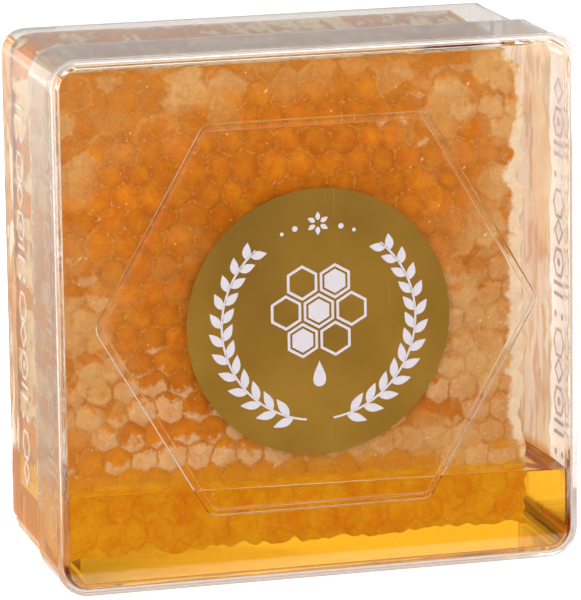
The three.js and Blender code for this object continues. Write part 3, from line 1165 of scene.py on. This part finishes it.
def gold_foil():
    """Satin gold foil with a fine brushed grain, small dents and rubbed spots, and a painted reflection
    that makes it lighter towards the bottom.
    """
    nodes = Finish("satin gold foil")
    grain = nodes.noise(2600.0, 3.0, 0.6)
    clouds = nodes.noise(55.0, 3.0, 0.5)
    colour = nodes.mix(clouds.ramp(0.3, 0.7), linear(152, 112, 38), linear(170, 127, 46))
    # Painted reflection: the foil is made lighter towards the bottom and darker towards the top.
    colour = nodes.shaded(colour, nodes.place().axis("Z").ramp(label_low.z, label_high.z, 1.3, 0.88))
    drawn = nodes.mapped(Rotation=(0, 0.7, 0), Scale=(1, 1, 0.04))
    scratch = nodes.noise(1500.0, 2.0, 0.6, 0.0, drawn).ramp(0.7, 0.78)
    return nodes.done(nodes.principled({
        "Base Color": nodes.mix(scratch * 0.4, colour, linear(205, 172, 100)),
        "Metallic": 0.75,
        "Roughness": grain.ramp(0.3, 0.7, 0.38, 0.5),
        "Normal": nodes.bump(clouds * 2.0 + grain * 0.12, 0.25, 0.0004),
    }))


def ink(name, colour, worn, opacity):
    """Flat print with a slightly uneven cover."""
    nodes = Finish(name)
    cover = nodes.noise(1800.0, 3.0, 0.6)
    return nodes.done(nodes.principled({
        "Base Color": nodes.mix(cover.ramp(0.35, 0.65), linear(*colour), linear(*worn)),
        "Roughness": cover.ramp(0.3, 0.7, 0.45, 0.6),
        "Alpha": cover.ramp(0.3, 0.6, 0.8 * opacity, opacity),
        "Normal": nodes.bump(cover, 0.15, 0.0001),
    }))


# ---- Assembly ------------------------------------------------------------------------------

tray_plastic = clear_plastic("clear tray plastic", 45.0, 0.35)
lid_plastic = clear_plastic("clear lid plastic", 60.0, 0.25)
cut_side = cut_comb(
    "cut comb", (240, 164, 60), (222, 132, 26), (250, 224, 176), (255, 206, 96),
    line_strength=0.5, glow=0.0, stretch=1.0,
)
# The wax on the wall has a painted glow that stands in for light shining through it from behind.
wall_wax = cut_comb(
    "wax on the wall", (255, 246, 232), (246, 222, 192), (255, 250, 242), (226, 158, 78),
    line_strength=0.3, glow=0.27, stretch=0.22,
)
edge_wax = cut_comb(
    "wax behind the comb", (236, 196, 150), (206, 152, 98), (250, 236, 216), (206, 138, 62),
    line_strength=0.5, glow=0.0, stretch=0.5,
)
pale_ink = ink("pale grey ink", (200, 193, 198), (182, 175, 180), 1.0)
white_ink = ink("white ink", (232, 226, 222), (214, 206, 200), 0.42)

add_piece("tray_clear", tray_shell(), [tray_plastic], "tray")
add_piece("lid_clear", lid_shell(), [lid_plastic], "lid")
comb, layers, caps = comb_mesh()
add_piece(
    "honeycomb_full", comb, [capped_comb(), cut_side], "honeycomb",
    sharp=50, layers=layers, first_count=caps,
)
tray_foot = tray_low.z + TRAY_WALL
tray_back = BACK_Y - TRAY_WALL
film = smear_mesh(1, -14.6 * MM, 16 * MM, HONEY_LEVEL, COMB_TOP - 1 * MM, 1 * MM)
add_piece("right_wall_smear", film, [wall_wax])
film = smear_mesh(-1, 16 * MM, tray_back - 0.6 * MM, tray_foot, COMB_TOP, 0.2 * MM)
add_piece("left_wall_smear", film, [edge_wax])
film = smear_mesh(-1, -9 * MM, 15.4 * MM, tray_foot, HONEY_LEVEL - 5 * MM, 0.2 * MM)
add_piece("left_foot_smear", film, [edge_wax])
add_piece("honey_pool", honey_mesh(), [clear_honey()], "honey", sharp=50)

label_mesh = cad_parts["label"].data
label_mesh.materials.clear()
label_mesh.materials.append(gold_foil())
add_piece("label_print", label_print(), [pale_ink], sharp=30)
for name, shapes in (
    ("left_wall_print", wall_print(-1)),
    ("right_wall_print", wall_print(1)),
    ("foot_print", foot_print()),
):
    add_piece(name, shapes, [white_ink], sharp=30)


# ---- Stage, light and camera ---------------------------------------------------------------


def stage_sheet(name, corners, material):
    mesh = bpy.data.meshes.new(name)
    mesh.from_pydata(corners, [], [tuple(range(len(corners)))])
    mesh.materials.append(material)
    sheet = add_object(name, mesh)
    return sheet


def flat(z, *corners):
    return [(x, y, z) for x, y in corners]


def upright(left, right, y, low, high):
    return [(left, y, low), (right, y, low), (right, y, high), (left, y, high)]


def reflection_card(name, corners, near_colour, far_colour=None):
    """A glowing card that only reflections and what is seen through the plastic can show.

    Its colour runs from near_colour at the front to far_colour behind.
    """
    nodes = Finish(name)
    front = min(corner[1] for corner in corners)
    back = max(max(corner[1] for corner in corners), front + 0.01)
    share = nodes.place().axis("Y").ramp(front, back)
    colour = nodes.mix(share, (*near_colour, 1), (*(far_colour or near_colour), 1))
    glow = nodes.get("ShaderNodeEmission", "Emission", {"Color": colour})
    card = stage_sheet(name, corners, nodes.done(glow))
    card.visible_camera = False
    card.visible_diffuse = False
    card.visible_shadow = False


def pale_floor(colour, glow):
    nodes = Finish("pale floor")
    cloud = nodes.noise(3.0, 2.0, 0.5).ramp(0.2, 0.8)
    return nodes.done(nodes.principled({
        "Base Color": nodes.mix(cloud, colour, tuple(0.99 * part for part in colour)),
        "Roughness": 0.9,
        "Emission Color": colour,
        "Emission Strength": glow,
    }))


def soft_box(name, place, toward, width, height, power):
    """A lamp that lights what is matt and shows in no reflection."""
    light = bpy.data.lights.new(name, "AREA")
    light.shape = "RECTANGLE"
    light.size = width
    light.size_y = height
    light.energy = power
    lamp = add_object(name, light)
    lamp.location = place
    lamp.rotation_euler = (Vector(toward) - Vector(place)).to_track_quat("-Z", "Y").to_euler()
    lamp.visible_glossy = False
    lamp.visible_transmission = False


floor = flat(-0.0001, (-4, -3.2), (4, -3.2), (4, 4.8), (-4, 4.8))
stage_sheet("floor", floor, pale_floor((0.93, 0.925, 0.92, 1), 0.7))

# Cards lie and stand where the lid, the walls and the honey mirror them to the camera.
tan = (0.56, 0.42, 0.31)
reflection_card(
    "dark_card", flat(0.002, (0.03, -0.68), (0.3, -0.68), (0.07, -0.034), (-0.07, -0.034)),
    (0.03, 0.03, 0.03),
)
reflection_card(
    "amber_card", flat(0, (-0.4, -0.03), (-0.053, -0.03), (-0.053, 0.035), (-0.07, 0.11), (-0.4, 0.11)),
    (0.92, 0.44, 0.17), tan,
)
reflection_card(
    "left_card", flat(0, (-0.6, 0.11), (-0.07, 0.11), (-0.15, 0.9), (-0.6, 0.9)),
    tan, (0.97, 0.95, 0.93),
)
reflection_card(
    "near_card", flat(-0.00005, (-0.5, -0.3), (0.5, -0.3), (0.5, 0.035), (-0.5, 0.035)),
    (0.82, 0.755, 0.72),
)
reflection_card(
    "right_card", flat(0, (0.08, 0.035), (0.5, 0.035), (0.5, 0.9), (0.42, 0.9)),
    (0.6, 0.52, 0.49),
)
reflection_card("back_grey_card", upright(-0.2, 0.5, 0.6, 0.15, 0.45), (0.4, 0.394, 0.388))
reflection_card("low_white_card", upright(0.02, 0.3, 0.3, 0.048, 0.14), (1.5, 1.48, 1.46))

middle = (0, 0, MIDDLE_Z)
soft_box("overhead", (0, 0.1, 1.7), middle, 2.2, 2.2, 7)
soft_box("front", (-0.42, -1.7, 0.43), middle, 0.6, 0.5, 19)
soft_box("left", (-1.4, 0.15, 0.4), middle, 0.9, 0.9, 18)
soft_box("right", (1.4, 0.15, 0.5), middle, 0.9, 0.9, 14)

scene = bpy.context.scene
scene.world = bpy.data.worlds.new("studio")
scene.world.use_nodes = True
sky = Nodes(scene.world.node_tree)
matt_share = sky.get("ShaderNodeLightPath", "Is Diffuse Ray")
glow = {"Color": (0.92, 0.9, 0.885, 1), "Strength": matt_share * -0.6 + 1.0}
background = sky.get("ShaderNodeBackground", "Background", glow)
sky.add("ShaderNodeOutputWorld", {"Surface": background})

scene.view_settings.view_transform = "Standard"
scene.cycles.max_bounces = 64
scene.cycles.glossy_bounces = 64
scene.cycles.transmission_bounces = 64
scene.cycles.transparent_max_bounces = 32

IMAGE_WIDTH, IMAGE_HEIGHT = 581, 600
FOCAL_PIXELS = 4968.8
VIEW_MIDDLE = (292.1, 286.7)
VIEW_FROM = Vector((-249.0, -926.6, 261.0)) * MM
VIEW_TURN, VIEW_FALL, VIEW_ROLL = 15.116, 12.237, -0.764
SENSOR = 36
camera_data = bpy.data.cameras.new("camera")
camera_data.sensor_width = SENSOR
camera_data.lens = FOCAL_PIXELS * SENSOR / IMAGE_HEIGHT
camera_data.shift_x = (IMAGE_WIDTH / 2 - VIEW_MIDDLE[0]) / IMAGE_HEIGHT
camera_data.shift_y = (VIEW_MIDDLE[1] - IMAGE_HEIGHT / 2) / IMAGE_HEIGHT
turn, fall, roll = (math.radians(angle) for angle in (VIEW_TURN, VIEW_FALL, VIEW_ROLL))
forward = Vector((math.sin(turn) * math.cos(fall), math.cos(turn) * math.cos(fall), -math.sin(fall)))
level = Vector((math.cos(turn), -math.sin(turn), 0))
right = level * math.cos(roll) + level.cross(forward) * math.sin(roll)
aim = Matrix((right, right.cross(forward), -forward)).transposed().to_4x4()
scene.camera = add_object("camera", camera_data)
scene.camera.matrix_world = Matrix.Translation(VIEW_FROM) @ aim
